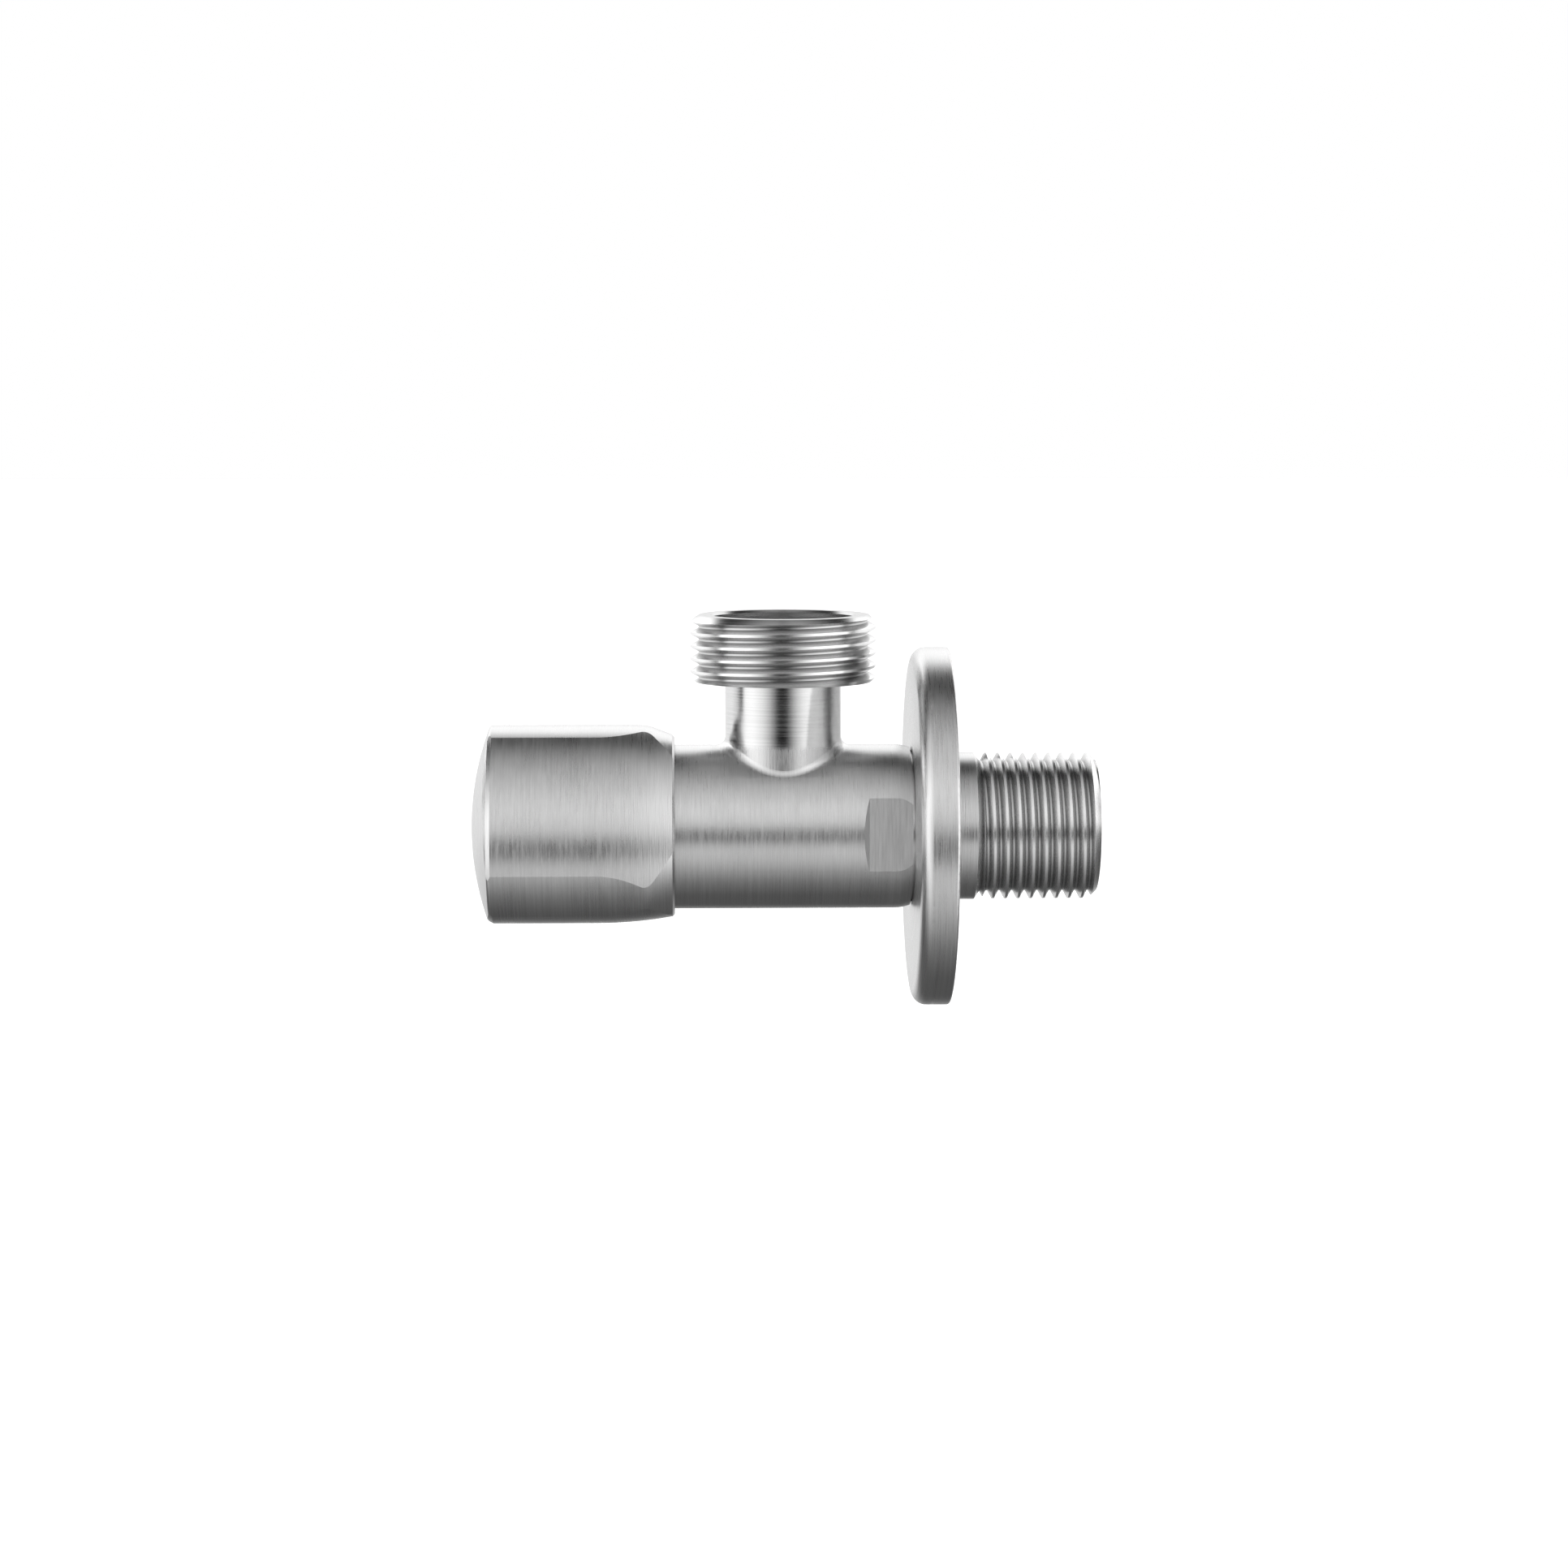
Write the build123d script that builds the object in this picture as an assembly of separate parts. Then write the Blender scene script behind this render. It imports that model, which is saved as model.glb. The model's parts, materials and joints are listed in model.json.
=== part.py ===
"""Angle stop valve with a quarter-turn ceramic cartridge, as separate solids.

Frame, in millimetres: +X runs along the barrel towards the wall, +Z up along the outlet.
The origin is on the barrel's axis, in the plane of the shoulder where the inlet nipple starts.
"""
from build123d import *
import math
import os

# ---- pipe threads (parallel 55 degree form) ----
pipe_pitch = 1.814
inlet_major_r = 20.955 / 2
outlet_major_r = 26.441 / 2
thread_depth = 0.6403 * pipe_pitch
flank_half_angle = math.radians(27.5)
thread_root_flat = 0.24
groove_overshoot = 0.15
seam_turn = -31.0

# ---- body ----
barrel_r = 11.75
barrel_length = 38.05
barrel_end_drop = 0.4
barrel_end_run = 2.3
outlet_offset = 18.05
neck_r = 8.3
neck_fillet = 1.3
outlet_block_z = 20.9
outlet_rim_z = 30.4
outlet_rim_chamfer = 0.95
outlet_foot_chamfer = 0.6
outlet_crest_z = 28.68
outlet_bore_r = 10.1
outlet_bore_depth = 7.0
outlet_mouth_chamfer = 0.35
neck_bore_r = 6.0
nipple_r = 10.55
nipple_plain = 9.22
relief_run = 0.83
relief_r = 9.35
thread_start_run = 0.6
inlet_length = 26.72
inlet_crest_x = 11.12
inlet_tip_chamfer = 1.08
inlet_bore_r = 6.0
inlet_mouth_chamfer = 0.6
flat_depth = 1.2
flat_run = 6.15
flat_ramp = 0.75
barrel_mouth_chamfer = 0.4

# ---- cartridge cavity in the body ----
seat_offset = 6.0
barrel_wall = 1.75
thread_step = 0.6
cavity_gap = 0.5
cartridge_thread_length = 7.0

# ---- clearances ----
seat_clearance = 0.05
running_clearance = 0.05
free_gap = 0.35
end_gap = 0.15
disc_film = 0.02

# ---- ceramic discs, carrier and seat seal ----
seal_thickness = 2.2
seal_wall = 1.6
disc_edge_step = 0.3
disc_thickness = 2.4
port_inner_r = 2.3
port_edge = 1.8
port_span = 80.0
key_width = 2.5
key_reach = 1.0
dog_width = 2.4
dog_inner_r = 4.6
dog_height = 1.1
dog_edge = 0.4
carrier_port_margin = 20.0
carrier_hub_r = 5.2
carrier_web = 3.2
carrier_height = 8.0
tongue_width = 4.4
tongue_length = 4.5

# ---- cartridge housing and cage ----
collar_edge = 0.35
collar_thickness = 1.2
hex_across = 19.0
hex_height = 4.0
guide_wall = 2.0
guide_height = 4.0
chamber_depth = 2.4
housing_skirt_length = 12.0
cage_wall = 1.45
cage_socket = 1.5
window_start = 2.2
window_length = 4.4
window_span = 76.0
window_count = 3

# ---- spindle ----
spindle_r = 4.95
spline_tip_r = 4.0
spline_root_r = 3.7
spline_teeth = 20
stem_r = 4.0
washer_thickness = 0.7
spindle_collar_step = 0.9
spindle_collar_thickness = 2.5
stop_rib_height = 0.8
stop_lug_angle = 90.0
stop_lug_span = 60.0
handle_range = 90.0
stop_slack = 1.5
clip_thickness = 0.8
clip_groove_depth = 0.85
clip_step = 1.45
clip_mouth = 50.0
clip_land = 0.7

# ---- round seals ----
spindle_ring_section = 1.3
spindle_ring_pitch = 3.4
spindle_ring_first = 2.2
housing_ring_section = 1.35
housing_ring_offset = 9.2
ring_groove_slack = 0.5

# ---- handle ----
grip_wall = 2.5
handle_length = 29.01
skirt_overlap = 4.46
dome_rise = 2.75
rim_round = 0.5
face_depth = 0.95
face_edge_break = 0.5
face_edge_soften = 0.3
face_offset = 4.25
face_count = 3
face_tilt = 22.5
taper_round = 5.0
crown_start = 10.96
crown_radius = 64.4
taper_run = 3.86
taper_drop = 1.5
mouth_chamfer = 0.3
handle_end_wall = 5.2
cap_r = 6.5
cap_thickness = 1.2
cap_plug_depth = 3.1
cap_plug_wall = 0.8
pocket_floor = 1.3

# ---- handle insert, screw and washer ----
insert_hub_r = 7.0
insert_disc = 2.5
insert_rim = 1.2
insert_rim_length = 7.0
insert_rib = 1.2
insert_ribs = 6
drive_key_width = 2.5
drive_key_height = 0.8
screw_r = 2.0
screw_length = 10.0
screw_head_r = 3.6
screw_head_height = 2.0
screw_socket_across = 2.5
screw_socket_depth = 1.2
lock_washer_r = 3.8
lock_washer_thickness = 0.6
lock_washer_mouth = 12.0

# ---- wall flange ----
flange_r = 25.65
flange_thickness = 5.31
flange_gap = 0.28
flange_sheet = 1.2
flange_front_round = 2.0
flange_back_round = 0.4
flange_inner_round = 1.2
flange_hub_wall = 1.1
flange_hub_short = 0.8
grip_section = 1.7
grip_groove_start = 2.0

cut_margin = 1.0

# ---- sizes that follow the barrel and the spindle ----
flat_distance = barrel_r - flat_depth
cartridge_thread_r = barrel_r - barrel_wall
cavity_r = cartridge_thread_r - thread_step
cage_r = cavity_r - cavity_gap
cage_inner_r = cage_r - cage_wall
disc_r = cage_inner_r - seat_clearance
moving_disc_r = disc_r - disc_edge_step
port_outer_r = disc_r - port_edge
seal_inner_r = disc_r - seal_wall
collar_r = barrel_r - collar_edge
housing_skirt_r = cavity_r - seat_clearance
spindle_bore_r = spindle_r + running_clearance
guide_r = spindle_bore_r + guide_wall
spindle_collar_r = spindle_r + spindle_collar_step
washer_r = spindle_collar_r + running_clearance
stop_rib_r = spindle_collar_r + free_gap
chamber_r = stop_rib_r + stop_rib_height
clip_r = spindle_r + clip_step
handle_bore_r = barrel_r + free_gap
handle_r = handle_bore_r + grip_wall
face_radius = handle_r - face_depth + face_offset

# ---- places worked out from the sizes above ----
outlet_x = -outlet_offset
barrel_end_x = -barrel_length
seat_x = outlet_x + seat_offset
fixed_disc_x = seat_x - seal_thickness - disc_thickness
moving_disc_x = fixed_disc_x - disc_film - disc_thickness
carrier_x = moving_disc_x - carrier_height
chamber_x = barrel_end_x + chamber_depth
housing_end_x = barrel_end_x + housing_skirt_length
collar_x = barrel_end_x - collar_thickness
hex_x = collar_x - hex_height
guide_x = hex_x - guide_height
clip_x = guide_x - end_gap - clip_thickness
insert_end_x = clip_x - clip_land
handle_open_x = barrel_end_x + skirt_overlap
handle_tip_x = handle_open_x - handle_length
handle_floor_x = handle_tip_x + handle_end_wall
pocket_x = handle_floor_x - pocket_floor
flange_x = flange_gap
flange_back_x = flange_gap + flange_thickness


def turned(*outline):
    """A solid of revolution about the X axis from (x, radius) corners."""
    with BuildPart() as body:
        with BuildSketch(Plane.XY):
            with BuildLine():
                Polyline(*outline, close=True)
            make_face()
        revolve(axis=Axis.X)
    return body.part


def rod(radius, low, high):
    """A plain cylinder along X."""
    grow = (Align.CENTER, Align.CENTER, Align.MIN)
    return Pos(low, 0, 0) * Rot(0, 90, 0) * Cylinder(radius, high - low, align=grow)


def ring(outer, inner, low, high):
    """A plain tube along X."""
    return rod(outer, low, high) - rod(inner, low - cut_margin, high + cut_margin)


def sector(inner, outer, middle, span, low, high):
    """A sector of a tube along X; angles turn from +Y towards +Z."""
    first = middle - span / 2
    with BuildPart() as body:
        with BuildSketch(Plane.YZ.offset(low)):
            with BuildLine():
                near = CenterArc((0, 0), inner, first, span)
                far = CenterArc((0, 0), outer, first, span)
                Line(near @ 0, far @ 0)
                Line(near @ 1, far @ 1)
            make_face()
        extrude(amount=high - low)
    return body.part


def bar(width, inner, outer, angle, low, high):
    """A straight key along a radius, square to X."""
    block = Box(high - low, outer - inner, width)
    placed = Pos((low + high) / 2, (inner + outer) / 2, 0) * block
    return Rot(angle, 0, 0) * placed


def prism(points, low, high):
    """A prism along X on a closed outline of (y, z) points."""
    with BuildPart() as body:
        with BuildSketch(Plane.YZ.offset(low)):
            with BuildLine():
                Polyline(*points, close=True)
            make_face()
        extrude(amount=high - low)
    return body.part


def polygon_prism(across_flats, sides, low, high):
    """A regular prism along X, given its size across the flats."""
    corner = across_flats / 2 / math.cos(math.pi / sides)
    turn = 2 * math.pi / sides
    points = [(corner * math.cos(turn * i), corner * math.sin(turn * i)) for i in range(sides)]
    return prism(points, low, high)


def round_ring(inner, section, middle_x):
    """A rubber ring of round section about X, given its inner radius."""
    return Pos(middle_x, 0, 0) * Rot(0, 90, 0) * Torus(inner + section / 2, section / 2)


def circles_at(solid, x, radius):
    """The solid's circular edges about X at this place and radius."""
    circles = solid.edges().filter_by(GeomType.CIRCLE)
    there = [edge for edge in circles if abs(edge.center().X - x) < seat_clearance]
    return [edge for edge in there if abs(edge.radius - radius) < seat_clearance]


def thread_groove(major_r, start, turns):
    """One continuous right-hand groove of the pipe thread, about Z."""
    root_r = major_r - thread_depth
    top_r = major_r + groove_overshoot
    root_half = thread_root_flat / 2
    top_half = root_half + (top_r - root_r) * math.tan(flank_half_angle)
    path = Helix(pitch=pipe_pitch, height=turns * pipe_pitch, radius=major_r, center=(0, 0, start))
    section_plane = Plane(origin=(0, 0, start), x_dir=(1, 0, 0), z_dir=(0, -1, 0))
    with BuildSketch(section_plane) as section:
        with BuildLine():
            Polyline(
                (root_r, -root_half),
                (top_r, -top_half),
                (top_r, top_half),
                (root_r, root_half),
                close=True,
            )
        make_face()
    return sweep(section.sketch, path=path, is_frenet=True)


def threaded_rod(major_r, low, high, crest, outline):
    """A threaded rod about Z: a crest at angle zero is at height crest, cut to the outline."""
    groove_phase = crest + pipe_pitch / 2
    turns_below = math.ceil((groove_phase - low) / pipe_pitch) + 1
    start = groove_phase - turns_below * pipe_pitch
    turns = math.ceil((high - start) / pipe_pitch) + 1
    reach = 2 * pipe_pitch
    grow = (Align.CENTER, Align.CENTER, Align.MIN)
    blank = Cylinder(major_r, turns * pipe_pitch + 2 * reach, align=grow)
    blank = Pos(0, 0, start - reach) * Rot(0, 0, seam_turn) * blank
    threaded = blank - thread_groove(major_r, start, turns)
    with BuildPart() as envelope:
        with BuildSketch(Plane.XZ):
            with BuildLine():
                Polyline(*outline, close=True)
            make_face()
        revolve(axis=Axis.Z)
    return threaded & envelope.part


def outlet_thread():
    """The threaded outlet block, standing on the neck."""
    wide = outlet_major_r + cut_margin
    rim_r = outlet_major_r - outlet_rim_chamfer
    foot_r = outlet_major_r - outlet_foot_chamfer
    outline = (
        (0, outlet_block_z),
        (foot_r, outlet_block_z),
        (wide, outlet_block_z + outlet_foot_chamfer + cut_margin),
        (wide, outlet_rim_z - outlet_rim_chamfer - cut_margin),
        (rim_r, outlet_rim_z),
        (0, outlet_rim_z),
    )
    block = threaded_rod(outlet_major_r, outlet_block_z, outlet_rim_z, outlet_crest_z, outline)
    return Pos(outlet_x, 0, 0) * block


def inlet_thread():
    """The threaded end of the nipple, laid along X."""
    start = nipple_plain + relief_run
    wide = inlet_major_r + cut_margin
    start_slope = (inlet_major_r - relief_r) / thread_start_run
    start_reach = (wide - relief_r) / start_slope
    tip_r = inlet_major_r - inlet_tip_chamfer
    outline = (
        (0, start),
        (relief_r, start),
        (wide, start + start_reach),
        (wide, inlet_length - inlet_tip_chamfer - cut_margin),
        (tip_r, inlet_length),
        (0, inlet_length),
    )
    upright = threaded_rod(inlet_major_r, start, inlet_length, inlet_crest_x, outline)
    return Rot(0, 90, 0) * Rot(0, 0, 180) * upright


def barrel_blank():
    """The barrel's outside, with its slightly rounded wall end."""
    with BuildPart() as body:
        with BuildSketch(Plane.XY):
            with BuildLine():
                start = (barrel_end_x, barrel_r)
                bend = (-barrel_end_run, barrel_r)
                end = (0, barrel_r - barrel_end_drop)
                Polyline((0, 0), (barrel_end_x, 0), start, bend)
                TangentArc(bend, end, tangent=(1, 0))
                Line(end, (0, 0))
            make_face()
        revolve(axis=Axis.X)
    return body.part


def wrench_flat_cut(side):
    """The pocket beside one wrench flat; side is -1 in front and 1 behind."""
    deep = barrel_r - flat_distance
    with BuildPart() as body:
        with BuildSketch(Plane.XY):
            with BuildLine():
                Polyline(
                    (-flat_run, side * flat_distance),
                    (cut_margin, side * flat_distance),
                    (cut_margin, side * (barrel_r + deep)),
                    (-flat_run - 2 * flat_ramp, side * (barrel_r + deep)),
                    close=True,
                )
            make_face()
        extrude(amount=barrel_r, both=True)
    return body.part


def waterway():
    """Everything that is bored out of the body."""
    thread_end_x = barrel_end_x + cartridge_thread_length
    mouth_r = cartridge_thread_r + barrel_mouth_chamfer
    tip_r = inlet_bore_r + inlet_mouth_chamfer
    axial = turned(
        (barrel_end_x - cut_margin, 0),
        (barrel_end_x - cut_margin, mouth_r + cut_margin),
        (barrel_end_x + barrel_mouth_chamfer, cartridge_thread_r),
        (thread_end_x, cartridge_thread_r),
        (thread_end_x, cavity_r),
        (seat_x, cavity_r),
        (seat_x, inlet_bore_r),
        (inlet_length - inlet_mouth_chamfer, inlet_bore_r),
        (inlet_length + cut_margin, tip_r + cut_margin),
        (inlet_length + cut_margin, 0),
    )
    grow = (Align.CENTER, Align.CENTER, Align.MIN)
    floor_z = outlet_rim_z - outlet_bore_depth
    neck = Cylinder(neck_bore_r, floor_z + cut_margin, align=grow)
    mouth = Pos(0, 0, floor_z) * Cylinder(outlet_bore_r, outlet_bore_depth + cut_margin, align=grow)
    flare_r = outlet_bore_r + outlet_mouth_chamfer + cut_margin
    flare_height = outlet_mouth_chamfer + cut_margin
    flare = Cone(outlet_bore_r, flare_r, flare_height, align=grow)
    flare = Pos(0, 0, outlet_rim_z - outlet_mouth_chamfer) * flare
    return axial + Pos(outlet_x, 0, 0) * (neck + mouth + flare)


def valve_body():
    """Barrel, neck, threaded outlet and threaded inlet nipple in one piece."""
    grow = (Align.CENTER, Align.CENTER, Align.MIN)
    neck_top_z = outlet_block_z + cut_margin
    neck = Pos(outlet_x, 0, 0) * Cylinder(neck_r, neck_top_z, align=grow)
    shell = barrel_blank() + neck
    joint = [edge for edge in shell.edges() if is_neck_joint(edge)]
    shell = fillet(joint, neck_fillet)
    nipple = turned(
        (-cut_margin, 0),
        (-cut_margin, nipple_r),
        (nipple_plain, nipple_r),
        (nipple_plain + relief_run, relief_r),
        (nipple_plain + relief_run + cut_margin, relief_r),
        (nipple_plain + relief_run + cut_margin, 0),
    )
    body = shell - wrench_flat_cut(-1) - wrench_flat_cut(1)
    body = body + nipple
    body = body + outlet_thread()
    body = body + inlet_thread()
    return body - waterway()


def is_neck_joint(edge):
    """True for the curved edge where the neck leaves the barrel."""
    box = edge.bounding_box()
    on_barrel = box.min.Z > 0 and box.max.Z < barrel_r + cut_margin
    round_neck = abs(box.center().X - outlet_x) < cut_margin and box.size.X > neck_r
    return on_barrel and round_neck and box.size.Y > neck_r


def free_sector():
    """Middle and span of the arc that the stop lug can use."""
    span = stop_lug_span + handle_range + 2 * stop_slack
    return stop_lug_angle - handle_range / 2, span


def cartridge_housing():
    """The brass headwork: hex, collar, screwed skirt, guide and drive chamber."""
    thread_r = cartridge_thread_r - seat_clearance
    thread_end_x = barrel_end_x + cartridge_thread_length
    outside = turned(
        (guide_x, 0),
        (guide_x, guide_r),
        (collar_x, guide_r),
        (collar_x, collar_r),
        (barrel_end_x, collar_r),
        (barrel_end_x, thread_r),
        (thread_end_x - free_gap, thread_r),
        (thread_end_x - free_gap, housing_skirt_r),
        (housing_end_x, housing_skirt_r),
        (housing_end_x, cage_socket_r()),
        (housing_end_x + cage_socket, cage_socket_r()),
        (housing_end_x + cage_socket, 0),
    )
    outside = outside + polygon_prism(hex_across, 6, hex_x, collar_x)
    bore = rod(spindle_bore_r, guide_x - cut_margin, chamber_x + cut_margin)
    chamber = rod(chamber_r, chamber_x, housing_end_x + cage_socket + cut_margin)
    rib_end_x = chamber_x + washer_thickness + spindle_collar_thickness
    rib = ring(chamber_r + seat_clearance, stop_rib_r, chamber_x - seat_clearance, rib_end_x)
    middle, span = free_sector()
    travel = sector(stop_rib_r / 2, chamber_r, middle, span, chamber_x, rib_end_x + cut_margin)
    housing = outside - bore - chamber
    housing = housing + (rib - travel - bore)
    return housing - housing_ring_groove()


def cage_socket_r():
    """Outside of the housing's spigot, which the cage's mouth goes over."""
    return (chamber_r + cage_r) / 2


def housing_ring_x():
    """Middle of the seal round the housing's skirt."""
    return barrel_end_x + housing_ring_offset


def housing_ring_groove():
    """The groove for the seal round the skirt."""
    floor_r = housing_skirt_r - housing_ring_section
    half = (housing_ring_section + ring_groove_slack) / 2
    return ring(housing_skirt_r + cut_margin, floor_r, housing_ring_x() - half, housing_ring_x() + half)


def housing_seal():
    """Rubber ring between the housing and the body."""
    floor_r = housing_skirt_r - housing_ring_section
    return round_ring(floor_r + seat_clearance / 2, housing_ring_section, housing_ring_x())


def cartridge_cage():
    """The slotted sleeve that holds the discs under the housing."""
    cage_end_x = seat_x - free_gap
    sleeve = ring(cage_r, cage_inner_r, housing_end_x, cage_end_x)
    mouth_r = cage_socket_r() + seat_clearance
    mouth_end_x = housing_end_x + cage_socket + seat_clearance
    sleeve = sleeve - rod(mouth_r, housing_end_x - cut_margin, mouth_end_x)
    first_x = mouth_end_x + window_start
    for index in range(window_count):
        angle = 90 + index * 360 / window_count
        window = sector(cage_inner_r / 2, cage_r + cut_margin, angle, window_span, first_x, window_end_x())
        sleeve = sleeve - window
    for angle in (0, 180):
        width = key_width + 2 * seat_clearance
        slot = bar(width, disc_r / 2, cage_r + cut_margin, angle, fixed_disc_x - seat_clearance, seat_x)
        sleeve = sleeve - slot
    return sleeve


def window_end_x():
    """End of the cage's side windows, level with the moving disc's upper face."""
    return min(housing_end_x + cage_socket + window_start + window_length, moving_disc_x + disc_thickness / 2)


def thrust_washer():
    """Low-friction washer between the spindle's collar and the housing."""
    inner = spindle_bore_r
    return ring(washer_r, inner, chamber_x, chamber_x + washer_thickness - running_clearance)


def spline_points(clearance):
    """Outline of the spline, grown by a clearance."""
    points = []
    for index in range(2 * spline_teeth):
        angle = math.pi * index / spline_teeth
        radius = (spline_tip_r if index % 2 == 0 else spline_root_r) + clearance
        points.append((radius * math.cos(angle), radius * math.sin(angle)))
    return points


def spindle_ring_places():
    """Middles of the two seals on the spindle, from the inner one outwards."""
    first = chamber_x - spindle_ring_first
    return [first, first - spindle_ring_pitch]


def spindle():
    """Splined end, clip groove, sealed journal, stop collar, stem and driving tongue."""
    spline_x = handle_floor_x + end_gap
    collar_start_x = chamber_x + washer_thickness
    collar_end_x = collar_start_x + spindle_collar_thickness
    body = prism(spline_points(0), spline_x, insert_end_x)
    body = body + rod(spindle_r, insert_end_x, collar_start_x)
    body = body + rod(spindle_collar_r, collar_start_x, collar_end_x)
    lug_outer = chamber_r - free_gap
    body = body + sector(stem_r / 2, lug_outer, stop_lug_angle, stop_lug_span, collar_start_x, collar_end_x)
    body = body + rod(stem_r, collar_end_x, carrier_x - end_gap)
    tongue_x = carrier_x - end_gap
    tongue = rod(stem_r, tongue_x, tongue_x + tongue_length)
    keep = Pos(tongue_x + tongue_length / 2, 0, 0) * Box(tongue_length, 2 * stem_r, tongue_width)
    body = body + (tongue & keep)
    groove_r = spindle_r - clip_groove_depth
    body = body - ring(spindle_r + cut_margin, groove_r, clip_x, clip_x + clip_thickness)
    floor_r = spindle_r - spindle_ring_section
    half = (spindle_ring_section + ring_groove_slack) / 2
    for middle in spindle_ring_places():
        body = body - ring(spindle_r + cut_margin, floor_r, middle - half, middle + half)
    hole_end_x = pocket_x + screw_length + end_gap
    return body - rod(screw_r + seat_clearance, spline_x - cut_margin, hole_end_x)


def spindle_seal(middle_x):
    """Rubber ring in one of the spindle's grooves."""
    floor_r = spindle_r - spindle_ring_section
    return round_ring(floor_r + seat_clearance / 2, spindle_ring_section, middle_x)


def spindle_clip():
    """Open retaining ring that keeps the spindle in the housing."""
    inner = spindle_r - clip_groove_depth + seat_clearance
    whole = ring(clip_r, inner, clip_x + seat_clearance, clip_x + clip_thickness - seat_clearance)
    mouth = sector(inner / 2, clip_r + cut_margin, 0, clip_mouth, clip_x, clip_x + clip_thickness)
    return whole - mouth


def disc_ports(low, high, middle):
    """The two fan-shaped ports of a disc."""
    first = sector(port_inner_r, port_outer_r, middle, port_span, low, high)
    second = sector(port_inner_r, port_outer_r, middle + 180, port_span, low, high)
    return first + second


def fixed_disc():
    """Ceramic disc keyed to the cage; its ports are above and below the axis."""
    end_x = fixed_disc_x + disc_thickness
    disc = rod(disc_r, fixed_disc_x, end_x)
    for angle in (0, 180):
        disc = disc + bar(key_width, disc_r / 2, disc_r + key_reach, angle, fixed_disc_x, end_x)
    return disc - disc_ports(fixed_disc_x - cut_margin, end_x + cut_margin, 90)


def moving_disc():
    """Ceramic disc turned by the carrier; closed at rest, a quarter turn from the fixed ports."""
    end_x = moving_disc_x + disc_thickness
    disc = rod(moving_disc_r, moving_disc_x, end_x)
    disc = disc - disc_ports(moving_disc_x - cut_margin, end_x + cut_margin, 0)
    for angle in (90, 270):
        width = dog_width + 2 * seat_clearance
        depth = dog_height + seat_clearance
        inner = dog_inner_r - seat_clearance
        pocket = bar(width, inner, disc_r, angle, moving_disc_x - cut_margin, moving_disc_x + depth)
        disc = disc - pocket
    return disc


def disc_carrier():
    """Takes the spindle's tongue and turns the moving disc by two dogs."""
    hub = rod(carrier_hub_r, carrier_x, moving_disc_x)
    web_x = moving_disc_x - carrier_web
    hub = hub + rod(moving_disc_r - seat_clearance, web_x, moving_disc_x)
    open_span = port_span + carrier_port_margin
    outer = moving_disc_r + cut_margin
    for angle in (0, 180):
        hub = hub - sector(port_inner_r, outer, angle, open_span, web_x, moving_disc_x + cut_margin)
    for angle in (90, 270):
        reach = moving_disc_r - seat_clearance - dog_edge
        top_x = moving_disc_x + dog_height
        hub = hub + bar(dog_width, dog_inner_r, reach, angle, moving_disc_x - cut_margin, top_x)
    slot_end_x = carrier_x - end_gap + tongue_length + seat_clearance
    slot = rod(stem_r + seat_clearance, carrier_x - cut_margin, slot_end_x)
    width = tongue_width + 2 * seat_clearance
    length = slot_end_x - carrier_x + cut_margin
    keep = Pos(slot_end_x - length / 2, 0, 0) * Box(length, 4 * stem_r, width)
    return hub - (slot & keep)


def seat_seal():
    """Rubber seal between the fixed disc and the body's seat."""
    return ring(disc_r, seal_inner_r, seat_x - seal_thickness, seat_x)


def handle_blank():
    """The handle's turned outside: domed end, straight grip and tapered mouth."""
    dome_x = handle_tip_x + dome_rise
    taper_x = handle_open_x - taper_run
    mouth_r = handle_r - taper_drop
    lip_x = handle_open_x - mouth_chamfer
    lip_r = mouth_r + mouth_chamfer * taper_drop / taper_run
    with BuildPart() as body:
        with BuildSketch(Plane.XY):
            with BuildLine():
                TangentArc((handle_tip_x, 0), (dome_x, handle_r), tangent=(0, 1))
                Polyline((dome_x, handle_r), (taper_x, handle_r), (lip_x, lip_r))
                Polyline((lip_x, lip_r), (handle_open_x, mouth_r - mouth_chamfer), (handle_open_x, 0))
                Line((handle_open_x, 0), (handle_tip_x, 0))
            make_face()
        revolve(axis=Axis.X)
    blank = fillet(circles_at(body.part, dome_x, handle_r), rim_round)
    return fillet(circles_at(blank, taper_x, handle_r), taper_round)


def grip_face(angle):
    """A barrel-shaped solid whose near side is one of the handle's flatter faces."""
    dome_radius = (handle_r**2 + dome_rise**2) / (2 * dome_rise)
    rim_r = face_radius - face_offset
    rim_x = handle_tip_x + dome_radius - math.sqrt(dome_radius**2 - rim_r**2)
    corner_x = rim_x + face_edge_break
    low = handle_tip_x - cut_margin
    low_r = face_radius - (corner_x - low)
    soft_x = corner_x - face_edge_soften
    soft_r = face_radius - face_edge_soften
    full_x = corner_x + face_edge_soften
    bend_x = handle_open_x - crown_start
    drop = crown_radius - math.sqrt(crown_radius**2 - crown_start**2)
    mouth_r = face_radius - drop
    lip_x = handle_open_x - mouth_chamfer
    with BuildPart() as body:
        with BuildSketch(Plane.XY):
            with BuildLine():
                Polyline((handle_open_x, 0), (low, 0), (low, low_r), (soft_x, soft_r))
                Polyline((soft_x, soft_r), (full_x, face_radius), (bend_x, face_radius))
                TangentArc((bend_x, face_radius), (lip_x, mouth_r), tangent=(1, 0))
                Polyline((lip_x, mouth_r), (handle_open_x, mouth_r - mouth_chamfer), (handle_open_x, 0))
            make_face()
        revolve(axis=Axis.X)
    return Rot(angle, 0, 0) * Pos(0, -face_offset, 0) * Rot(180, 0, 0) * body.part


def grip_angles():
    """Angles of the flatter faces' middles, from +Y towards +Z."""
    first = 180 - face_tilt
    return [first + index * 360 / face_count for index in range(face_count)]


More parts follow.
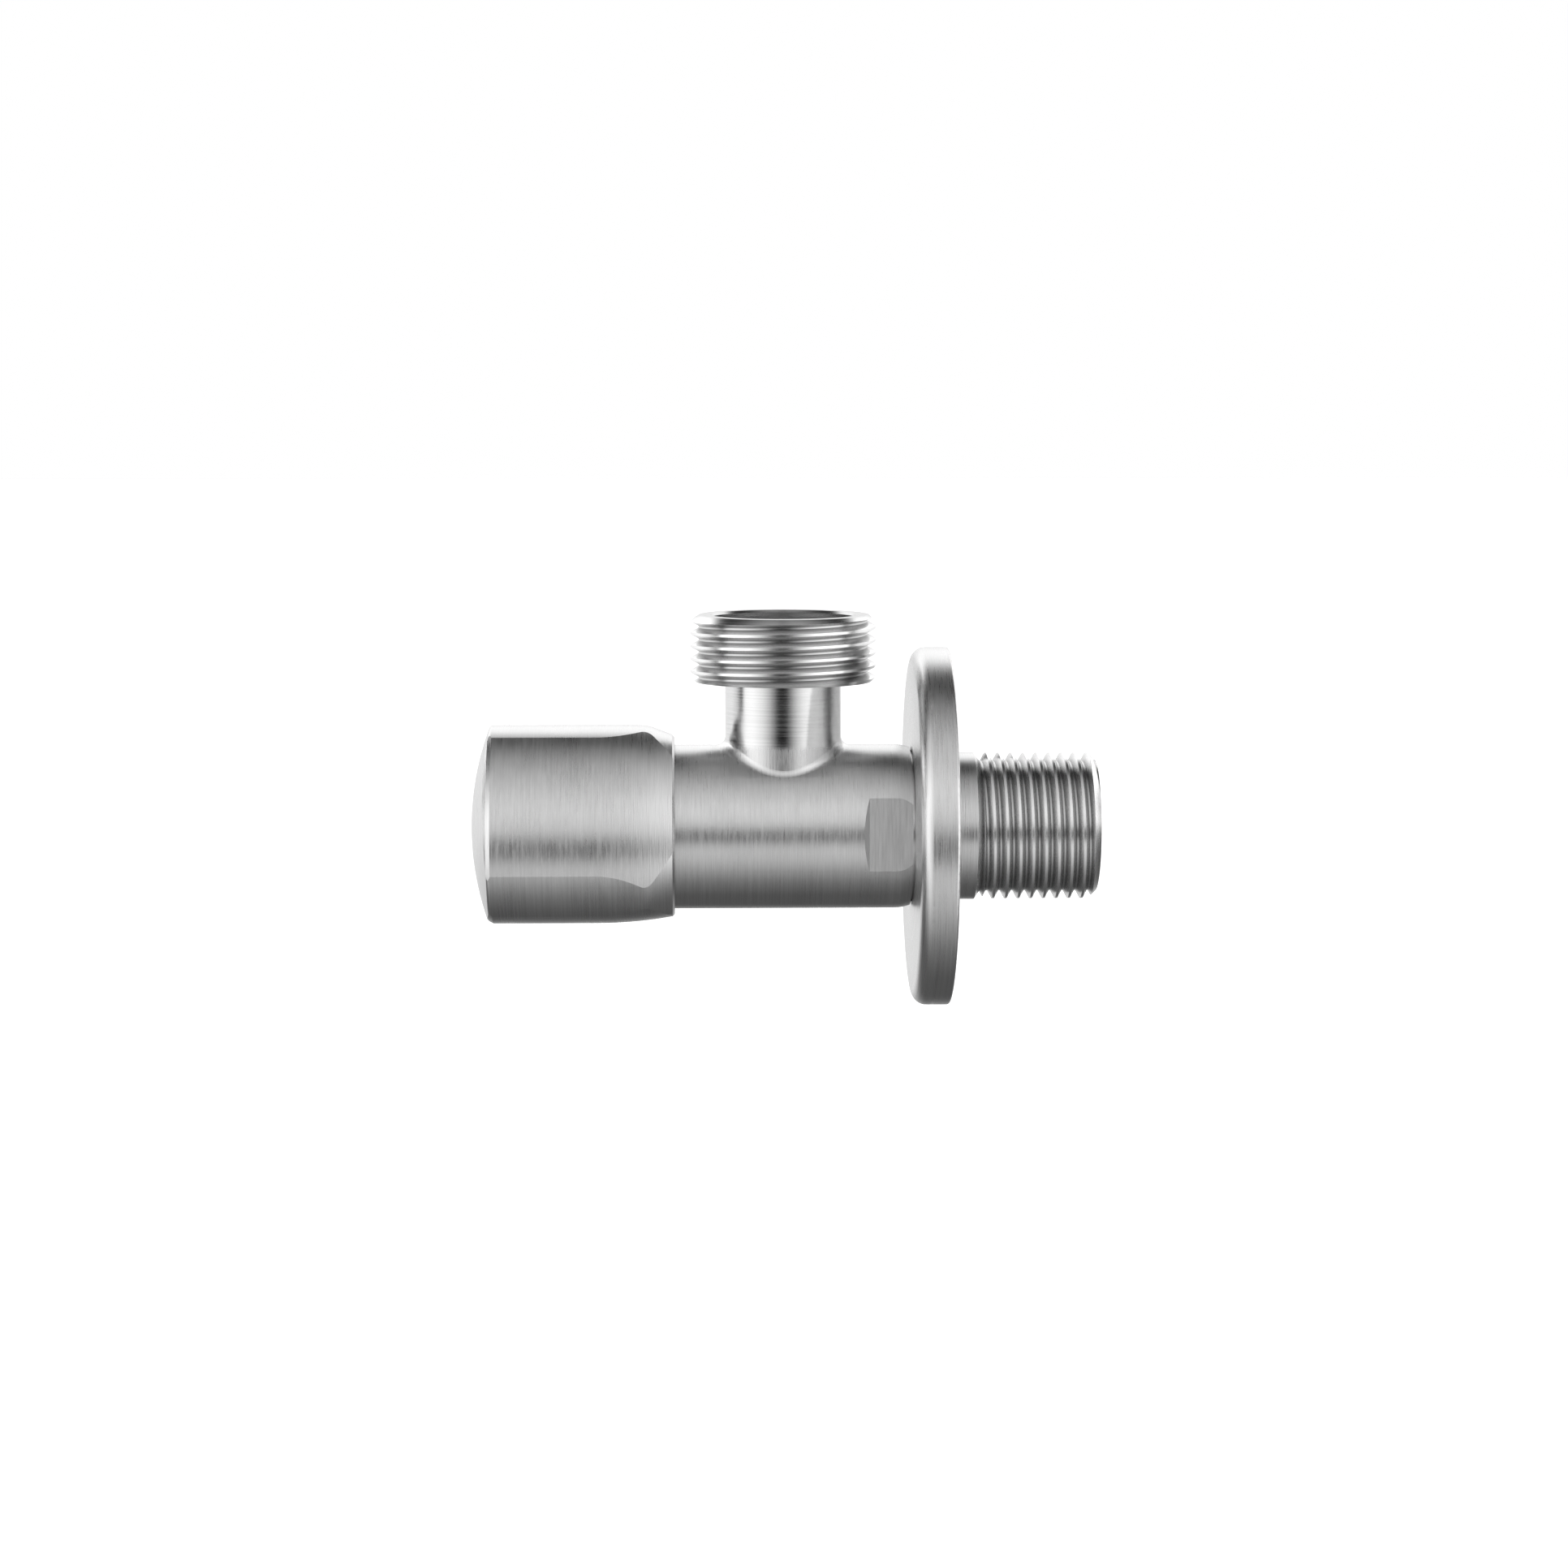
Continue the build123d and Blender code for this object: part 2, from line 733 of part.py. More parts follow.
def handle_solid():
    """The handle's outside as a solid: the turned blank with its flatter faces."""
    ridge_middle = grip_angles()[0] + 180 / face_count
    body = Rot(ridge_middle, 0, 0) * handle_blank()
    for angle in grip_angles():
        body = body & grip_face(angle)
    return body


def drive_keys(width, top_r, low, high):
    """Three keys under the rounded parts of the grip."""
    keys = None
    for angle in grip_angles():
        key = bar(width, handle_bore_r - cut_margin, top_r, angle + 180 / face_count, low, high)
        keys = key if keys is None else keys + key
    return keys


def handle():
    """The grip that covers the cartridge's head."""
    body = handle_solid()
    body = body - rod(handle_bore_r, handle_floor_x, handle_open_x + cut_margin)
    body = body - rod(cap_r + seat_clearance, handle_tip_x - cut_margin, pocket_x)
    body = body - rod(screw_r + 2 * seat_clearance, pocket_x - cut_margin, handle_floor_x + cut_margin)
    key_width_cut = drive_key_width + 2 * seat_clearance
    key_top = handle_bore_r + drive_key_height + seat_clearance
    key_end = handle_floor_x + insert_rim_length + end_gap
    return body - drive_keys(key_width_cut, key_top, handle_floor_x, key_end)


def handle_insert():
    """Splined adapter between the handle and the spindle."""
    outer = handle_bore_r - seat_clearance
    disc_end_x = handle_floor_x + insert_disc
    rim_end_x = handle_floor_x + insert_rim_length
    body = rod(outer, handle_floor_x, disc_end_x)
    body = body + ring(outer, outer - insert_rim, handle_floor_x, rim_end_x)
    body = body + rod(insert_hub_r, handle_floor_x, insert_end_x)
    for index in range(insert_ribs):
        angle = index * 360 / insert_ribs
        rib = bar(insert_rib, insert_hub_r / 2, outer - insert_rim / 2, angle, handle_floor_x, rim_end_x)
        body = body + rib
    body = body + drive_keys(drive_key_width, handle_bore_r + drive_key_height, handle_floor_x, rim_end_x)
    return body - prism(spline_points(seat_clearance), handle_floor_x - cut_margin, insert_end_x + cut_margin)


def handle_screw():
    """Socket screw through the handle's floor into the spindle."""
    seat = pocket_x - lock_washer_thickness
    head_x = seat - screw_head_height
    body = rod(screw_head_r, head_x, seat) + rod(screw_r, seat, pocket_x + screw_length)
    socket = polygon_prism(screw_socket_across, 6, head_x - cut_margin, head_x + screw_socket_depth)
    return body - socket


def screw_washer():
    """Split spring washer under the screw's head."""
    inner = screw_r + seat_clearance
    low = pocket_x - lock_washer_thickness
    whole = ring(lock_washer_r, inner, low, pocket_x)
    outer = lock_washer_r + cut_margin
    mouth = sector(inner / 2, outer, 0, lock_washer_mouth, low - cut_margin, pocket_x + cut_margin)
    return whole - mouth


def handle_cap():
    """Plain plug that closes the screw pocket, flush with the domed end."""
    face = rod(cap_r, handle_tip_x - cut_margin, handle_tip_x + cap_thickness)
    skirt = ring(cap_r, cap_r - cap_plug_wall, handle_tip_x, handle_tip_x + cap_plug_depth)
    return (face + skirt) & handle_blank()


def grip_bore_r():
    """The flange's own bore, clear of the nipple."""
    return nipple_r + free_gap


def grip_groove_r():
    """Floor of the groove for the gripping ring."""
    return nipple_r + running_clearance + grip_section + running_clearance


def grip_middle_x():
    """Middle of the gripping ring."""
    return flange_x + grip_groove_start + (grip_section + 2 * running_clearance) / 2


def wall_flange():
    """Round cover for the hole in the wall, hollow behind, with a hub for its gripping ring."""
    hub_r = grip_groove_r() + flange_hub_wall
    hub_end_x = flange_back_x - flange_hub_short
    sheet_x = flange_x + flange_sheet
    inner_r = flange_r - flange_sheet
    disc = turned(
        (flange_x, grip_bore_r()),
        (flange_x, flange_r),
        (flange_back_x, flange_r),
        (flange_back_x, inner_r),
        (sheet_x, inner_r),
        (sheet_x, hub_r),
        (hub_end_x, hub_r),
        (hub_end_x, grip_bore_r()),
    )
    disc = fillet(circles_at(disc, flange_x, flange_r), flange_front_round)
    disc = fillet(circles_at(disc, flange_back_x, flange_r), flange_back_round)
    disc = fillet(circles_at(disc, sheet_x, inner_r), flange_inner_round)
    half = grip_section / 2 + running_clearance
    return disc - ring(grip_groove_r(), nipple_r, grip_middle_x() - half, grip_middle_x() + half)


def flange_grip_ring():
    """Rubber ring that grips the nipple and carries the flange."""
    return round_ring(nipple_r + running_clearance, grip_section, grip_middle_x())


def build_all():
    """Every node of the valve by name."""
    inner_x, outer_x = spindle_ring_places()
    return {
        "valve_body": valve_body(),
        "cartridge_housing": cartridge_housing(),
        "housing_seal": housing_seal(),
        "cartridge_cage": cartridge_cage(),
        "thrust_washer": thrust_washer(),
        "fixed_disc": fixed_disc(),
        "seat_seal": seat_seal(),
        "spindle": spindle(),
        "spindle_clip": spindle_clip(),
        "spindle_seal_inner": spindle_seal(inner_x),
        "spindle_seal_outer": spindle_seal(outer_x),
        "disc_carrier": disc_carrier(),
        "moving_disc": moving_disc(),
        "handle": handle(),
        "handle_insert": handle_insert(),
        "handle_screw": handle_screw(),
        "screw_washer": screw_washer(),
        "handle_cap": handle_cap(),
        "wall_flange": wall_flange(),
        "flange_grip_ring": flange_grip_ring(),
    }


os.makedirs("parts", exist_ok=True)
for name, solid in build_all().items():
    export_step(solid, f"parts/{name}.step")
    print(f"{name}: {len(solid.solids())} solid, {solid.volume:.1f} mm3")
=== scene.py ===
# %% [markdown]
# # An angle stop valve in brushed stainless steel
# This lesson dresses a finished CAD model of a small water valve. The shapes are loaded as a
# fixed frame and stay as they are, so the whole lesson is about light, camera and materials.
# What shows is the steel: a turned and brushed body, its threads, a three-faced handle with a
# cap, and a wall flange. The cartridge inside has brass, rubber, ceramic and plastic pieces.

# %% Load the frame
import json
import math
import bpy
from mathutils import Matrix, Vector


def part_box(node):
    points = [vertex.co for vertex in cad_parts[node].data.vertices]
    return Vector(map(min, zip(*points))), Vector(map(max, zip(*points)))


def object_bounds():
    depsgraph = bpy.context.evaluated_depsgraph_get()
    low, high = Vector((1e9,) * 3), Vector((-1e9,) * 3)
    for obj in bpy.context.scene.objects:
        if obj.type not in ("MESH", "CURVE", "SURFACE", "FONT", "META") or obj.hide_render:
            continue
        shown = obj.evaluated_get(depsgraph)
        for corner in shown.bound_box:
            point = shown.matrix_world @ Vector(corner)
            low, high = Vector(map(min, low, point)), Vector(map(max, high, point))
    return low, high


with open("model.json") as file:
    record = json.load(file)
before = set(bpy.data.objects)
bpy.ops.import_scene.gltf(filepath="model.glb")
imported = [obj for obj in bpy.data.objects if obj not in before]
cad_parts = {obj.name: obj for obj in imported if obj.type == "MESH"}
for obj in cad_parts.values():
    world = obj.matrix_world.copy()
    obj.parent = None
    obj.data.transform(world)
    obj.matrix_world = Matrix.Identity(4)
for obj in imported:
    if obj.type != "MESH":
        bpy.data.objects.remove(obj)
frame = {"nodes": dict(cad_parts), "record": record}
nodes = frame["nodes"]
cad_low, cad_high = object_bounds()
MM = 0.001
print("nodes:", len(nodes), "box in mm:", [round(v / MM, 2) for v in (*cad_low, *cad_high)])

# %% [markdown]
# ## Where things are
# A finish changes from place to place on one piece: a barrel is brushed round the X axis, the
# neck round its own upright axis, and a thread has a painted highlight on its crests and painted
# shade in its grooves. The places come from the mounts in the record and from the boxes of the
# pieces, so nothing is guessed twice.

# %% Places on the valve
mounts = {mount["name"]: mount for mount in frame["record"]["mounts"]}
outlet_x = mounts["outlet_bore"]["pos_m"][0]
outlet_rim_z = mounts["outlet_rim"]["pos_m"][2]
outlet_bore_r = mounts["outlet_bore"]["dims"]["r_mm"] * MM
handle_low, handle_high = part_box("handle")
flange_low, flange_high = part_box("wall_flange")
barrel_r = 11.75 * MM
outlet_thread_z = 20.9 * MM
outlet_root_r, outlet_crest_r = 12.06 * MM, 13.22 * MM
inlet_thread_x = 9.2 * MM
inlet_root_r, inlet_crest_r = 9.32 * MM, 10.48 * MM
flat_y = abs(mounts["wrench_flat_front"]["pos_m"][1])
flat_start_x = -7.2 * MM
dome_start_x = handle_low.x + 2.6 * MM
print("outlet axis at x", outlet_x / MM, "mm, rim at z", outlet_rim_z / MM, "mm")
print("handle ends at x", round(handle_high.x / MM, 2), "mm, flange starts at x", round(flange_low.x / MM, 2),
      "mm and ends at", round(flange_high.x / MM, 2), "mm")

# %% [markdown]
# ## Shader maths that reads like maths
# A node tree is hard to read as a long list of links. Here a small class wraps one socket and
# overloads the arithmetic signs, so an expression in Python adds its Math nodes by itself.
# Every other node comes from one method, which sets the node's options before its inputs.

# %% A wrapped socket
class Value:
    def __init__(self, board, socket):
        self.board = board
        self.socket = socket

    def math(self, operation, *others):
        ins = dict(enumerate((self, *others)))
        return self.board.add("ShaderNodeMath", {"operation": operation}, ins)["Value"]

    def __add__(self, other):
        return self.math("ADD", other)

    def __radd__(self, other):
        return self.math("ADD", other)

    def __sub__(self, other):
        return self.math("SUBTRACT", other)

    def __rsub__(self, other):
        return self.board.number("SUBTRACT", other, self)

    def __mul__(self, other):
        return self.math("MULTIPLY", other)

    def __rmul__(self, other):
        return self.math("MULTIPLY", other)

    def __gt__(self, other):
        return self.math("GREATER_THAN", other)

    def __lt__(self, other):
        return self.math("LESS_THAN", other)


class Outputs:
    def __init__(self, board, node):
        self.board = board
        self.node = node

    def __getitem__(self, name):
        return Value(self.board, self.node.outputs[name])


class Board:
    """A node tree to draw on."""

    def __init__(self, tree):
        self.tree = tree
        tree.nodes.clear()

    def add(self, kind, settings=None, ins=None):
        node = self.tree.nodes.new(kind)
        for name, setting in (settings or {}).items():
            setattr(node, name, setting)
        for name, value in (ins or {}).items():
            self.feed(node.inputs[name], value)
        return Outputs(self, node)

    def feed(self, socket, value):
        if isinstance(value, Value):
            self.tree.links.new(value.socket, socket)
        else:
            socket.default_value = value

    def number(self, operation, first, second):
        return self.add("ShaderNodeMath", {"operation": operation}, {0: first, 1: second})["Value"]

    def step(self, value, low, high, below=0.0, above=1.0):
        """Goes softly from one number to another as value passes from low to high."""
        ins = {"Value": value, "From Min": low, "From Max": high, "To Min": below, "To Max": above}
        return self.add("ShaderNodeMapRange", {"interpolation_type": "SMOOTHSTEP"}, ins)["Result"]

    def mix(self, factor, first, second):
        """Mixes two colours."""
        node = self.add("ShaderNodeMix", {"data_type": "RGBA"}).node
        self.feed(node.inputs[0], factor)
        self.feed(node.inputs[6], first)
        self.feed(node.inputs[7], second)
        return Value(self, node.outputs[2])

    def vector(self, x, y, z):
        return self.add("ShaderNodeCombineXYZ", None, {"X": x, "Y": y, "Z": z})["Vector"]

    def noise(self, vector, scale, detail=3.0, rough=0.5):
        ins = {"Vector": vector, "Scale": scale, "Detail": detail, "Roughness": rough}
        return self.add("ShaderNodeTexNoise", {"noise_dimensions": "3D"}, ins)["Fac"]

    def ramp(self, value, stops):
        node = self.add("ShaderNodeValToRGB", None, {"Fac": value}).node
        elements = node.color_ramp.elements
        while len(elements) < len(stops):
            elements.new(1.0)
        for element, (position, level) in zip(elements, stops):
            element.position = position
            element.color = (level, level, level, 1.0)
        return Value(self, node.outputs["Color"])


def grey(level, warm=0.0):
    """A nearly neutral colour; warm tips it from blue towards yellow."""
    return (level * (1 + warm), level, level * (1 - warm), 1.0)


print("shader helpers ready")

# %% [markdown]
# ## Places as a material sees them
# The grain of a brushed round piece runs round its axis. To draw that, a texture needs three
# numbers at each point: the place along the axis, the distance from it, and something that
# changes slowly round it. They are all worked out from Object coordinates.

# %% Coordinates about an axis
skew = 1.7
face_fineness = 0.06


class Place:
    """Object coordinates split up, about the barrel's axis and about the outlet's."""

    def __init__(self, board):
        co = board.add("ShaderNodeTexCoord")["Object"]
        parts = board.add("ShaderNodeSeparateXYZ", None, {"Vector": co})
        self.board = board
        self.co = co
        self.x, self.y, self.z = parts["X"], parts["Y"], parts["Z"]
        self.off_x = self.x - outlet_x
        self.barrel_r = self.reach(self.y, self.z)
        self.neck_r = self.reach(self.off_x, self.y)

    def reach(self, a, b):
        return (a * a + b * b).math("SQRT")

    def about_barrel(self, fine, slow):
        """Grain coordinates for a surface turned about X."""
        round_it = self.y * slow + self.z * (slow * skew)
        return self.board.vector(self.x * fine, self.barrel_r * fine, round_it)

    def about_grip(self, fine, slow):
        """The same for faces and flats, along which the distance from the axis changes."""
        round_it = self.y * slow + self.z * (slow * skew)
        return self.board.vector(self.x * fine, self.barrel_r * (fine * face_fineness), round_it)

    def about_neck(self, fine, slow):
        """Grain coordinates for a surface turned about the outlet's axis."""
        round_it = self.off_x * slow + self.y * (slow * skew)
        return self.board.vector(self.z * fine, self.neck_r * fine, round_it)


def new_material(name):
    material = bpy.data.materials.new(name)
    material.use_nodes = True
    return material, Board(material.node_tree)


def close(board, color, rough, height, metallic, distance, **fixed):
    """The Principled shader at the end of every material."""
    bump = board.add("ShaderNodeBump", None, {"Height": height, "Distance": distance, "Strength": 1.0})
    ins = {"Base Color": color, "Roughness": rough, "Metallic": metallic, "Normal": bump["Normal"]}
    ins.update(fixed)
    shader = board.add("ShaderNodeBsdfPrincipled", None, ins)
    board.add("ShaderNodeOutputMaterial", None, {"Surface": shader["BSDF"]})


print("places ready")

# %% [markdown]
# ## Brushed steel
# Brushing leaves long fine scratches, all one way. Three things follow from them: light and
# dark streaks, a slightly changing roughness, and tiny ridges that spread a reflection across
# the grain but not along it. One stretched noise drives all three, and a second, coarser one
# adds the uneven patches that a brushing belt leaves.

# %% Brushing
def brushing(board, about):
    """The marks of a brushing belt: the scratches' height, then streaks and patches, from 0 to 1."""
    scratches = board.noise(about(9000, 130), 1.0, 2.0, 0.6)
    streaks = board.noise(about(4200, 120), 1.0, 3.0, 0.6)
    patches = board.noise(about(260, 60), 1.0, 2.0, 0.5)
    return scratches, streaks, patches


def brushed_color(board, streaks, patches, dark=0.56, light=0.70):
    level = streaks * 0.7 + patches * 0.3
    return board.mix(board.step(level, 0.2, 0.8), grey(dark), grey(light))


print("brushing ready")

# %% [markdown]
# ## The handle and its cap
# The handle is a hollow grip with three gently rounded faces and a domed end. The faces are
# brushed across their length, and the dome is turned, so its marks are circles. One grain for
# both would leave smears near the axis, so the two are made apart and swapped where the dome
# starts. The cap lies in the dome and takes the same finish.

# %% Handle and cap steel
handle_scratch_height = 0.020 * MM


def handle_steel(name):
    material, board = new_material(name)
    place = Place(board)
    on_dome = place.x < dome_start_x
    along_faces = brushing(board, place.about_grip)
    round_dome = brushing(board, place.about_barrel)
    scratches, streaks, patches = [
        dome * on_dome + face * (1 - on_dome) for dome, face in zip(round_dome, along_faces)]
    color = brushed_color(board, streaks, patches)
    rough = board.step(streaks, 0.3, 0.7, 0.27, 0.33) + board.step(patches, 0.3, 0.7, -0.02, 0.02)
    close(board, color, rough, scratches, 1.0, handle_scratch_height)
    return material


print("handle steel ready")

# %% [markdown]
# ## The body
# One machined piece carries four finishes. The barrel is brushed round the X axis and the neck
# round its own axis, a little finer. The wrench flats are milled and duller. The thread crests get a
# painted highlight, and the grooves and the inside of the outlet bore get painted shade. Four
# materials would show a hard line where they meet, so one material blends them by place.

# %% Body steel
neck_blend = (barrel_r - 0.3 * MM, barrel_r + 0.9 * MM)
flat_tolerance = 0.03 * MM
body_scratch_height = 0.020 * MM
neck_polish, inlet_polish = 0.14, 0.05
outlet_dulling, flat_dulling = 0.04, 0.14


def body_steel(name):
    material, board = new_material(name)
    place = Place(board)
    on_neck = board.step(place.z, *neck_blend)
    on_outlet = place.z > outlet_thread_z
    on_inlet = place.x > inlet_thread_x
    on_thread = on_outlet.math("MAXIMUM", on_inlet)
    # Painted shade: inside the outlet bore the steel is coloured a flat darker grey.
    bore_painted_shade = (place.neck_r < outlet_bore_r * 0.75) * (place.z > 0.0)
    flat_side = place.y.math("ABSOLUTE").math("COMPARE", flat_y, flat_tolerance)
    on_flat = flat_side * (place.x > flat_start_x) * (place.x < 0.0)
    around_x = brushing(board, place.about_grip)
    around_z = brushing(board, place.about_neck)
    scratches, streaks, patches = [
        neck * on_neck + barrel * (1 - on_neck) for neck, barrel in zip(around_z, around_x)]
    brushed = brushed_color(board, streaks, patches)
    # Painted highlight and painted shade on the threads: the colour is darker at the root of each thread and
    # lighter at its crest.
    outlet_crest_highlight = board.step(place.neck_r, outlet_root_r, outlet_crest_r)
    inlet_crest_highlight = board.step(place.barrel_r, inlet_root_r, inlet_crest_r)
    crest_highlight_share = outlet_crest_highlight * on_outlet + inlet_crest_highlight * (1 - on_outlet)
    # The groove colour is painted shade and the crest colour is a painted highlight.
    groove_painted_shade_color = brushed_color(board, streaks, patches, 0.46, 0.54)
    crest_painted_highlight_color = brushed_color(board, streaks, patches, 0.76, 0.88)
    color = board.mix(on_thread, brushed, board.mix(crest_highlight_share, groove_painted_shade_color, crest_painted_highlight_color))
    # Painted shade inside the outlet bore.
    color = board.mix(bore_painted_shade, color, grey(0.40))
    rough = board.step(streaks, 0.3, 0.7, 0.27, 0.34)
    rough = rough - on_neck * neck_polish - on_inlet * inlet_polish
    rough = rough + on_outlet * outlet_dulling + on_flat * flat_dulling
    height = scratches * (1 - on_neck * 0.75) * (1 - on_thread * 0.6)
    close(board, color, rough, height, 1.0, body_scratch_height)
    return material


print("body steel ready")

# %% [markdown]
# ## The wall flange
# The flange is a turned disc. Its marks are circles on the face and on the rim, so
# the plain grain about X, with the full fineness outwards, fits all of it.

# %% Flange steel
flange_scratch_height = 0.018 * MM


def flange_steel(name):
    material, board = new_material(name)
    place = Place(board)
    scratches, streaks, patches = brushing(board, place.about_barrel)
    color = brushed_color(board, streaks, patches)
    rough = board.step(streaks, 0.3, 0.7, 0.26, 0.33)
    close(board, color, rough, scratches, 1.0, flange_scratch_height)
    return material


print("flange steel ready")

# %% [markdown]
# ## Turned pieces inside
# The cartridge's housing and cage, the spindle, the clip and the screw come straight from the
# lathe. They show only through the bores and in a cut, so a fine ring pattern is enough, and one
# function makes them all from two colours.

# %% Turned brass and steel
tool_mark_height = 0.003 * MM


def turned_metal(name, dark, light, low_rough=0.22, high_rough=0.34):
    """A piece straight from the lathe, with fine tool marks round X."""
    material, board = new_material(name)
    place = Place(board)
    fine = board.noise(place.about_barrel(4200, 60), 1.0, 3.0)
    broad = board.noise(place.about_barrel(1400, 40), 1.0, 2.0)
    patch = board.noise(place.co, 300, 3.0)
    color = board.mix(board.step(fine * 0.5 + patch * 0.5, 0.35, 0.65), dark, light)
    rough = board.step(broad, 0.3, 0.7, low_rough, high_rough)
    close(board, color, rough, fine, 1.0, tool_mark_height)
    return material


print("turned metals ready")

# %% [markdown]
# ## Rubber, plastic and ceramic
# The seals, the washer, the carrier and the handle's insert are moulded, and the two discs are
# fired and lapped. None has a grain. They differ in colour, in how rough they are and in how
# fine their texture is, so three short functions fill in one recipe.

# %% Moulded and fired pieces
moulded_height = 0.004 * MM
lapped_height = 0.001 * MM
rough_spread = 0.15
plastic_spread = 0.1


def moulded(name, dark, light, low_rough, high_rough, speck, distance):
    """Rubber, plastic or fired ceramic: no grain, only a fine even texture."""
    material, board = new_material(name)
    place = Place(board)
    patch = board.noise(place.co, 350, 4.0)
    grit = board.noise(place.co, speck, 2.0)
    color = board.mix(board.step(patch, 0.35, 0.65), dark, light)
    rough = board.step(grit, 0.3, 0.7, low_rough, high_rough)
    close(board, color, rough, grit, 0.0, distance)
    return material


def rubber(name, low_rough, dark=0.012, light=0.03):
    high_rough = low_rough + rough_spread
    return moulded(name, grey(dark), grey(light), low_rough, high_rough, 5000, moulded_height)


def plastic(name, level, low_rough, warm=0.0):
    dark, light = grey(level, warm), grey(level + plastic_spread, warm)
    return moulded(name, dark, light, low_rough, low_rough + rough_spread, 3000, moulded_height)


def ceramic(name):
    return moulded(name, grey(0.78, 0.03), grey(0.84, 0.03), 0.12, 0.2, 6000, lapped_height)


print("moulded pieces ready")

# %% [markdown]
# ## Dress every piece
# Each of the twenty pieces gets a material of its own, named for it, so that any one can be
# changed later without touching the rest. The table says which piece takes which finish.

# %% The pieces and their finishes
brass_dark = (0.55, 0.38, 0.15, 1.0)
brass_light = (0.75, 0.56, 0.27, 1.0)
finishes = {
    "valve_body": body_steel("body_steel"),
    "handle": handle_steel("handle_steel"),
    "handle_cap": handle_steel("cap_steel"),
    "wall_flange": flange_steel("flange_steel"),
    "cartridge_housing": turned_metal("housing_brass", brass_dark, brass_light),
    "cartridge_cage": turned_metal("cage_brass", brass_dark, brass_light, 0.28, 0.4),
    "spindle": turned_metal("spindle_brass", brass_dark, brass_light, 0.18, 0.3),
    "spindle_clip": turned_metal("clip_steel", grey(0.42), grey(0.55)),
    "handle_screw": turned_metal("screw_steel", grey(0.5), grey(0.64)),
    "screw_washer": turned_metal("spring_steel", grey(0.34), grey(0.48)),
    "housing_seal": rubber("housing_seal_rubber", 0.45),
    "seat_seal": rubber("seat_rubber", 0.45, 0.014, 0.035),
    "spindle_seal_inner": rubber("inner_seal_rubber", 0.4),
    "spindle_seal_outer": rubber("outer_seal_rubber", 0.4),
    "flange_grip_ring": rubber("grip_rubber", 0.5),
    "thrust_washer": plastic("washer_plastic", 0.6, 0.35),
    "disc_carrier": plastic("carrier_plastic", 0.62, 0.35, 0.02),
    "handle_insert": plastic("insert_plastic", 0.6, 0.4, 0.02),
    "fixed_disc": ceramic("fixed_ceramic"),
    "moving_disc": ceramic("moving_ceramic"),
}
for name, material in finishes.items():
    for slot in nodes[name].material_slots:
        slot.material = material
print("dressed:", len(finishes), "missing:", sorted(set(nodes) - set(finishes)))

# %% [markdown]
# ## A studio for bright metal
# Polished metal has hardly a colour of its own: what is seen is the room. The room is drawn as
# bands that lie along the barrel, each an angle round the X axis and a brightness: a light front,
# a dark ceiling, a bright wall behind and a dim underside. Panels with real lamps would do too,
# but bands are smooth and have no noise. A second list dims the front light in a narrow gap at
# eye level, which is fixed in the room, and that makes the dark stripe down the neck.

# %% Studio walls
half_turn = 180.0
full_turn = 360.0
to_degrees = half_turn / math.pi


def band(angle):
    return (angle + half_turn) / full_turn


world = bpy.data.worlds.new("studio")
bpy.context.scene.world = world
world.use_nodes = True
board = Board(world.node_tree)
parts = board.add("ShaderNodeSeparateXYZ", None, {
    "Vector": board.add("ShaderNodeTexCoord")["Generated"]})
dx, dy, dz = parts["X"], parts["Y"], parts["Z"]
toward = 0 - dy
around = dz.math("ARCTAN2", toward) * to_degrees
around_share = (around + half_turn) * (1 / full_turn)
bands = [
    (-180, 0.95), (-172, 1.0), (-161, 0.7), (-151, 0.26), (-138, 0.09), (-125, 0.12),
    (-104, 0.1), (-90, 0.15), (-75, 0.32), (-60, 0.66), (-46, 1.05), (-30, 1.4),
    (-18, 1.35), (-10, 1.25), (0, 1.35), (12, 1.5), (25, 1.65), (38, 1.5), (50, 1.2),
    (62, 0.98), (76, 0.62), (88, 0.3), (98, 0.08), (110, 0.02), (123, 0.04), (130, 0.7),
    (136, 1.5), (145, 1.6), (160, 1.5), (170, 1.1), (180, 0.95),
]
sides = [
    (0, 0.0), (8, 0.02), (15, 0.2), (27, 0.6), (40, 0.95), (60, 1.25), (90, 1.35),
    (120, 1.6), (150, 1.2), (180, 1.0),
]
brightest = 2.0
gap_turn, gap_drop = 3.0, 7.0
gap_half_height, gap_fade_height = 5.0, 14.0
gap_depth_elsewhere = 0.45
ladder = board.ramp(around_share, [(band(angle), level / brightest) for angle, level in bands])
side = (dx.math("ARCTAN2", toward) * to_degrees + gap_turn).math("ABSOLUTE") * (1 / half_turn)
across = board.ramp(side, [(angle / half_turn, level / brightest) for angle, level in sides]) * brightest
level_height = (around + gap_drop).math("ABSOLUTE")
depth = board.step(level_height, gap_half_height, gap_fade_height, 1.0, gap_depth_elsewhere)
gap = 1 - (1 - across) * depth
light = ladder * gap
seen = board.add("ShaderNodeLightPath")["Is Camera Ray"]
walls = board.add("ShaderNodeBackground", None, {"Color": light, "Strength": brightest})["Background"]
backdrop = board.add("ShaderNodeBackground", None, {"Color": (1, 1, 1, 1), "Strength": 1.0})["Background"]
mixed = board.add("ShaderNodeMixShader", None, {0: seen, 1: walls, 2: backdrop})["Shader"]
board.add("ShaderNodeOutputWorld", None, {"Surface": mixed})
print("studio bands:", len(bands))

